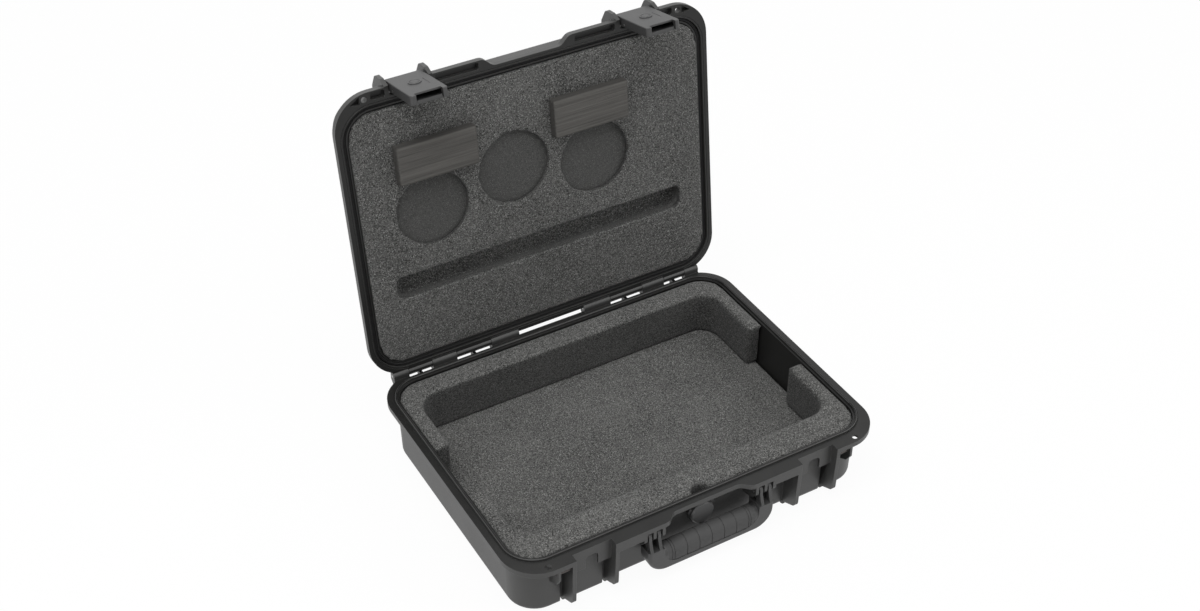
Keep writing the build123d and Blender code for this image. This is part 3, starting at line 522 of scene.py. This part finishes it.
def striped_foam(name, colour, cell, outward):
    """Sliced foam of the blocks, with stripes along its length and painted shade on its side walls."""
    stripe_share = 0.75
    cell_share = 0.25
    material, tree, shader = new_material(name)
    sliced = stretched_place(tree, (0.02, 1.0, 1.0))
    stripe = noise(tree, sliced, scale=420.0, detail=4.0, roughness=0.65)
    cells = place_group(tree, "Foam Cells", Size=cell, Contrast=BLOCK_CONTRAST)
    stripes = calculate(tree, "MULTIPLY", map_range(tree, stripe, low=0.3, high=0.7), stripe_share)
    speckle = calculate(tree, "MULTIPLY", cells.outputs["Tone"], cell_share)
    tone = calculate(tree, "ADD", stripes, speckle)
    base = two_tones(tree, tone, colour, dark=0.55, light=1.45)
    base = painted_wall_shade(tree, base, outward, most=0.40)
    tree.links.new(base, shader.inputs["Base Color"])
    rough = map_range(tree, stripe, low=0.3, high=0.7, to_low=0.8, to_high=0.95)
    tree.links.new(rough, shader.inputs["Roughness"])
    shader.inputs["Specular IOR Level"].default_value = 0.25
    bump(tree, shader, tone, distance=0.0006, strength=0.5)
    return material


def breathing_disc(name):
    """Pale woven membrane of the valve."""
    thread_shadow = (0.5, 0.5, 0.48)
    thread = (0.8, 0.8, 0.78)
    material, tree, shader = new_material(name)
    weave = place_group(tree, "Moulded Grain", Size=0.0003)
    base = mix_colour(tree, weave.outputs["Height"], thread_shadow, thread)
    tree.links.new(base, shader.inputs["Base Color"])
    rough = map_range(tree, weave.outputs["Tone"], to_low=0.7, to_high=0.85)
    tree.links.new(rough, shader.inputs["Roughness"])
    bump(tree, shader, weave.outputs["Height"], distance=0.00005, strength=0.5)
    return material


def seen_share(tree):
    """One on rays from the camera and on reflected ones, and zero on the rest."""
    path = new_node(tree, "ShaderNodeLightPath")
    return calculate(tree, "MAXIMUM", path.outputs["Is Camera Ray"], path.outputs["Is Glossy Ray"])


def floor_material(colour):
    """Pale floor that stays near white to the camera and keeps the shadow."""
    material, tree, shader = new_material("studio_floor")
    cloud = noise(tree, object_place(tree), scale=1.5, detail=3.0, roughness=0.5)
    base = two_tones(tree, cloud, colour, dark=0.98, light=1.02)
    tree.links.new(base, shader.inputs["Base Color"])
    shader.inputs["Roughness"].default_value = 0.9
    glow = new_node(tree, "ShaderNodeEmission")
    mix = new_node(tree, "ShaderNodeMixShader")
    tree.links.new(calculate(tree, "MULTIPLY", seen_share(tree), FLOOR_GLOW), mix.inputs[0])
    tree.links.new(shader.outputs[0], mix.inputs[1])
    tree.links.new(glow.outputs[0], mix.inputs[2])
    tree.links.new(mix.outputs[0], tree.nodes["Material Output"].inputs["Surface"])
    return material


# Making of the pieces

def dress(names, material):
    """Gives CAD nodes a material."""
    for name in names:
        mesh = NODES[name].data
        mesh.materials.clear()
        mesh.materials.append(material)


def dress_faces(name, material, chosen):
    """Gives a second material to faces of a CAD node that a test picks by direction and centre."""
    node = NODES[name]
    mesh = node.data
    mesh.materials.append(material)
    slot = len(mesh.materials) - 1
    turn = node.matrix_world.to_3x3()
    for polygon in mesh.polygons:
        if chosen(turn @ polygon.normal, node.matrix_world @ polygon.center):
            polygon.material_index = slot


def box_of(names, grow):
    """The low and high corner of a box around CAD nodes, grown on every side."""
    nodes = [NODES[name] for name in names]
    corners = [node.matrix_world @ Vector(corner) for node in nodes for corner in node.bound_box]
    low = Vector(min(corner[axis] for corner in corners) - grow for axis in range(3))
    high = Vector(max(corner[axis] for corner in corners) + grow for axis in range(3))
    return low, high


def shaded_faces(outward, low, high):
    """A test for faces that look straight out of a rim, or that are walls around the foam in a box; these
    get painted shade.
    """
    def chosen(normal, centre):
        inside = all(low[axis] < centre[axis] < high[axis] for axis in range(3))
        inward = normal.x * centre.x + normal.y * centre.y < 0
        return (inside and inward) or normal.dot(outward) > RIM_FACING
    return chosen


def new_object(name, data):
    """A new object in the scene."""
    made = bpy.data.objects.new(name, data)
    bpy.context.scene.collection.objects.link(made)
    return made


def new_piece(name, mesh, node, material):
    """A smooth foam piece that stands for a CAD node and rides on its body."""
    piece = new_object(name, mesh)
    mesh.materials.clear()
    mesh.materials.append(material)
    for polygon in mesh.polygons:
        polygon.use_smooth = True
    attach(piece, BODY_OF[node])
    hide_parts(node)
    return piece


def applied(mesh, modifiers):
    """A mesh with modifiers applied; each is a kind with its settings."""
    holder = new_object("holder", mesh)
    for kind, settings in modifiers:
        modifier = holder.modifiers.new(kind.title(), kind)
        for name, value in settings.items():
            setattr(modifier, name, value)
    graph = bpy.context.evaluated_depsgraph_get()
    result = bpy.data.meshes.new_from_object(holder.evaluated_get(graph))
    bpy.data.objects.remove(holder)
    return result


def foam_clouds():
    """The slow unevenness of a foam surface."""
    clouds = bpy.data.textures.get("foam_clouds") or bpy.data.textures.new("foam_clouds", "CLOUDS")
    clouds.noise_scale = CLOUD_SIZE
    return clouds


def soft_foam(name, node, spacing, wave, material, outward):
    """Foam slab: its cut edges are softened and its faces are slightly uneven."""
    # Remeshed lying flat, so that its broad faces keep to the grid of the remesh
    flat = outward.rotation_difference(BASE_RIM_OUT).to_matrix().to_4x4()
    source = NODES[node].data.copy()
    source.transform(flat)
    unevenness = {
        "texture": foam_clouds(),
        "strength": wave,
        "mid_level": CLOUD_MIDDLE,
        "texture_coords": "LOCAL",
    }
    mesh = applied(source, (
        ("REMESH", {"mode": "VOXEL", "voxel_size": spacing, "adaptivity": 0.0}),
        ("SMOOTH", {"factor": SMOOTH_FACTOR, "iterations": FOAM_SMOOTHING}),
        ("DISPLACE", unevenness),
    ))
    mesh.transform(flat.inverted())
    return new_piece(name, mesh, node, material)


def show_cut_faces(piece, material, outward):
    """Gives a foam slab cut faces below its skin, where a slot goes into it."""
    mesh = piece.data
    mesh.materials.append(material)
    heights = [polygon.center.dot(outward) for polygon in mesh.polygons]
    skin = max(heights) - SKIN_DEPTH
    for polygon, height in zip(mesh.polygons, heights):
        polygon.material_index = int(height < skin)


def soft_block(name, node, rounding, material):
    """Raised block with rounded edges."""
    source = bmesh.new()
    source.from_mesh(NODES[node].data)
    bmesh.ops.remove_doubles(source, verts=source.verts, dist=WELD_DISTANCE)
    bmesh.ops.dissolve_limit(source, angle_limit=FLAT_ANGLE, verts=source.verts, edges=source.edges)
    mesh = bpy.data.meshes.new(name)
    source.to_mesh(mesh)
    source.free()
    mesh = applied(mesh, (
        ("REMESH", {"mode": "VOXEL", "voxel_size": BLOCK_MESH, "adaptivity": 0.0}),
        ("SMOOTH", {"factor": SMOOTH_FACTOR, "iterations": int(rounding / BLOCK_ROUND_STEP)}),
    ))
    return new_piece(name, mesh, node, material)


# Making of the stage

def aimed(name, data, place, direction):
    """A lamp or a camera at a place, looking in a direction."""
    made = new_object(name, data)
    made.location = place
    made.rotation_mode = "QUATERNION"
    made.rotation_quaternion = direction.to_track_quat("-Z", "Y")
    return made


def area_light(name, place, size, power):
    """A square soft light that looks at the case."""
    data = bpy.data.lights.new(name, "AREA")
    data.size = size
    data.energy = power
    aimed(name, data, place, LAMP_AIM - place)


def make_floor(colour):
    """The floor, just under the case."""
    mesh = bpy.data.meshes.new("studio_floor")
    signs = ((-1, -1), (1, -1), (1, 1), (-1, 1))
    corners = [(x * FLOOR_HALF, y * FLOOR_HALF, -FLOOR_DROP) for x, y in signs]
    mesh.from_pydata(corners, [], [(0, 1, 2, 3)])
    mesh.materials.append(floor_material(colour))
    floor = new_object("studio_floor", mesh)


def make_world():
    """Even light from all sides, which the camera sees as white."""
    world = bpy.data.worlds.new("studio")
    world.use_nodes = True
    tree = world.node_tree
    background = tree.nodes["Background"]
    strength = map_range(tree, seen_share(tree), to_low=WORLD_LIGHT, to_high=WORLD_SEEN)
    tree.links.new(strength, background.inputs["Strength"])
    background.inputs["Color"].default_value = (1.0, 1.0, 1.0, 1.0)
    return world


def make_camera():
    """The camera at the photograph's viewing angle."""
    data = bpy.data.cameras.new("photo_camera")
    data.sensor_fit = "HORIZONTAL"
    data.sensor_width = CAMERA_SENSOR
    data.lens = CAMERA_LENS
    return aimed("photo_camera", data, CAMERA_PLACE, CAMERA_AIM)


# Operators

class HardCaseOperator:
    """What the operators share: access to the settings."""

    bl_options = {"REGISTER", "UNDO"}

    def settings(self, context):
        """The colours and sizes of the scene."""
        return context.scene.hard_case_colours, context.scene.hard_case_sizes


class HARDCASE_OT_shells(HardCaseOperator, bpy.types.Operator):
    """Give both shells their moulded plastic, with painted shade on the rim faces and on the walls beside
    the base foam
    """

    bl_idname = "hard_case.shells"
    bl_label = "Dress Shells"

    def execute(self, context):
        colours, sizes = self.settings(context)
        plastic = moulded_plastic("moulded_shell", colours.shell, sizes.edge, sizes.grain, SHELL_PEBBLES,
                                  roughness=0.44)
        # Darker plastic for the rim faces and the walls beside the base foam: painted shade
        smooth = moulded_plastic("painted_shade_faces", colours.rim_and_wall_shade, sizes.edge, sizes.grain, SHADED_PEBBLES,
                                 roughness=0.36, specular=0.3)
        dress(("base_shell", "lid_shell"), plastic)
        low, high = box_of(("base_foam_front", "base_foam_back", "base_foam_floor"), FOAM_REACH)
        dress_faces("base_shell", smooth, shaded_faces(BASE_RIM_OUT, low, high))
        dress_faces("lid_shell", smooth, shaded_faces(LID_RIM_OUT, low, high))
        return {"FINISHED"}


class HARDCASE_OT_fittings(HardCaseOperator, bpy.types.Operator):
    """Give the latches, the handle frame and the valve their plastic, with the valve cap in a lighter copy
    that is painted light
    """

    bl_idname = "hard_case.fittings"
    bl_label = "Dress Fittings"

    def execute(self, context):
        colours, sizes = self.settings(context)
        edge = sizes.edge * FITTING_EDGE
        grain = sizes.grain * FITTING_GRAIN
        plastic = moulded_plastic("fitting_plastic", colours.fitting, edge, grain, FITTING_PEBBLES,
                                  roughness=0.45)
        # A lighter copy of the fitting plastic for the valve cap: painted light
        painted_lit_plastic = moulded_plastic("valve_painted_light", shade(colours.fitting, VALVE_CAP_LIGHT), edge, grain,
                                FITTING_PEBBLES, roughness=0.45)
        names = [f"latch_{side}_{part}" for side in SIDES for part in ("cover", "trigger")]
        dress(names + ["handle_frame", "valve_body", "valve_nut"], plastic)
        dress(["valve_cap"], painted_lit_plastic)
        dress(["valve_membrane"], breathing_disc("valve_membrane"))
        return {"FINISHED"}


class HARDCASE_OT_rubber(HardCaseOperator, bpy.types.Operator):
    """Give the seals their rubber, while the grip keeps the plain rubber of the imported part"""

    bl_idname = "hard_case.rubber"
    bl_label = "Dress Rubber Parts"

    def execute(self, context):
        colours, sizes = self.settings(context)
        seal = soft_rubber("seal_rubber", colours.seal, sizes.edge * SEAL_EDGE, roughness=0.55)
        dress(["lid_gasket", "valve_oring"], seal)
        return {"FINISHED"}


class HARDCASE_OT_steel(HardCaseOperator, bpy.types.Operator):
    """Give the pins, bars and springs their steel"""

    bl_idname = "hard_case.steel"
    bl_label = "Dress Steel Parts"

    def execute(self, context):
        colours, sizes = self.settings(context)
        edge = sizes.edge * STEEL_EDGE
        names = [f"{part}_{side}" for side in SIDES for part in ("hinge_pin", "handle_pin")]
        names += [f"latch_{side}_{part}" for side in SIDES for part in ("pin", "trigger_pin", "spring")]
        dress(names, ground_steel("ground_steel", colours.steel, edge))
        bars = [f"strap_bar_{side}" for side in SIDES]
        dress(bars, ground_steel("dark_steel", colours.dark_steel, edge))
        return {"FINISHED"}


class HARDCASE_OT_base_foam(HardCaseOperator, bpy.types.Operator):
    """Make the foam of the base"""

    bl_idname = "hard_case.base_foam"
    bl_label = "Make Base Foam"

    def execute(self, context):
        colours, sizes = self.settings(context)
        cut = cut_foam("base_foam", colours.foam, sizes.cell, CUT_CONTRAST, CUT_FLECK, BASE_RIM_OUT)
        spacings = {"front": sizes.foam_mesh, "back": sizes.foam_mesh, "floor": sizes.foam_hidden_mesh}
        for part, spacing in spacings.items():
            soft_foam(f"foam_base_{part}", f"base_foam_{part}", spacing, sizes.foam_wave, cut, BASE_RIM_OUT)
        return {"FINISHED"}


class HARDCASE_OT_lid_foam(HardCaseOperator, bpy.types.Operator):
    """Make the foam of the lid"""

    bl_idname = "hard_case.lid_foam"
    bl_label = "Make Lid Foam"

    def execute(self, context):
        colours, sizes = self.settings(context)
        # The lid foam is the same foam at a darker tone: painted shade
        cut = cut_foam("lid_foam", shade(colours.foam, LID_FOAM_SHADE), sizes.cell,
                       CUT_CONTRAST, CUT_FLECK, LID_RIM_OUT)
        # The backing's skin, which shows as the slot floors, is darker still: painted shade
        skin = cut_foam("backing_foam", shade(colours.foam, SKIN_SHADE), sizes.cell * SKIN_CELL,
                        SKIN_CONTRAST, SKIN_FLECK, LID_RIM_OUT)
        soft_foam("foam_lid_facing", "lid_foam_facing", sizes.foam_mesh, sizes.foam_wave, cut, LID_RIM_OUT)
        backing = soft_foam("foam_lid_backing", "lid_foam_backing", sizes.foam_hidden_mesh, sizes.foam_wave,
                            skin, LID_RIM_OUT)
        show_cut_faces(backing, cut, LID_RIM_OUT)
        return {"FINISHED"}


class HARDCASE_OT_blocks(HardCaseOperator, bpy.types.Operator):
    """Make the two raised foam blocks"""

    bl_idname = "hard_case.blocks"
    bl_label = "Make Foam Blocks"

    def execute(self, context):
        colours, sizes = self.settings(context)
        material = striped_foam("striped_foam", colours.block, sizes.cell * BLOCK_CELL, LID_RIM_OUT)
        for side in SIDES:
            soft_block(f"foam_block_{side}", f"lid_foam_block_{side}", sizes.block_round, material)
        return {"FINISHED"}


class HARDCASE_OT_stage(HardCaseOperator, bpy.types.Operator):
    """Make the floor, the lights, the world and the camera"""

    bl_idname = "hard_case.stage"
    bl_label = "Make Stage"

    def execute(self, context):
        make_floor(context.scene.hard_case_colours.floor)
        area_light("key_light", KEY_PLACE, KEY_SIZE, KEY_POWER)
        area_light("fill_light", FILL_PLACE, FILL_SIZE, FILL_POWER)
        area_light("rim_light", RIM_PLACE, RIM_SIZE, RIM_POWER)
        context.scene.world = make_world()
        context.scene.camera = make_camera()
        context.scene.view_settings.view_transform = "Standard"
        return {"FINISHED"}


OPERATORS = (
    HARDCASE_OT_shells,
    HARDCASE_OT_fittings,
    HARDCASE_OT_rubber,
    HARDCASE_OT_steel,
    HARDCASE_OT_base_foam,
    HARDCASE_OT_lid_foam,
    HARDCASE_OT_blocks,
    HARDCASE_OT_stage,
)


class HARDCASE_PT_panel(bpy.types.Panel):
    """Hard case tools in the sidebar"""

    bl_idname = "HARDCASE_PT_panel"
    bl_label = "Hard Case"
    bl_space_type = "VIEW_3D"
    bl_region_type = "UI"
    bl_category = "Hard Case"

    def draw(self, context):
        layout = self.layout
        for group in (context.scene.hard_case_colours, context.scene.hard_case_sizes):
            for name in group.__annotations__:
                layout.prop(group, name)
        for operator in OPERATORS:
            layout.operator(operator.bl_idname)


CLASSES = (HardCaseColours, HardCaseSizes, *OPERATORS, HARDCASE_PT_panel)


def register():
    for cls in CLASSES:
        bpy.utils.register_class(cls)
    bpy.types.Scene.hard_case_colours = bpy.props.PointerProperty(type=HardCaseColours)
    bpy.types.Scene.hard_case_sizes = bpy.props.PointerProperty(type=HardCaseSizes)


def unregister():
    del bpy.types.Scene.hard_case_sizes
    del bpy.types.Scene.hard_case_colours
    for cls in reversed(CLASSES):
        bpy.utils.unregister_class(cls)


def main():
    """Makes the whole scene."""
    register()
    for operator in OPERATORS:
        group, name = operator.bl_idname.split(".")
        getattr(getattr(bpy.ops, group), name)()


if __name__ == "__main__":
    main()
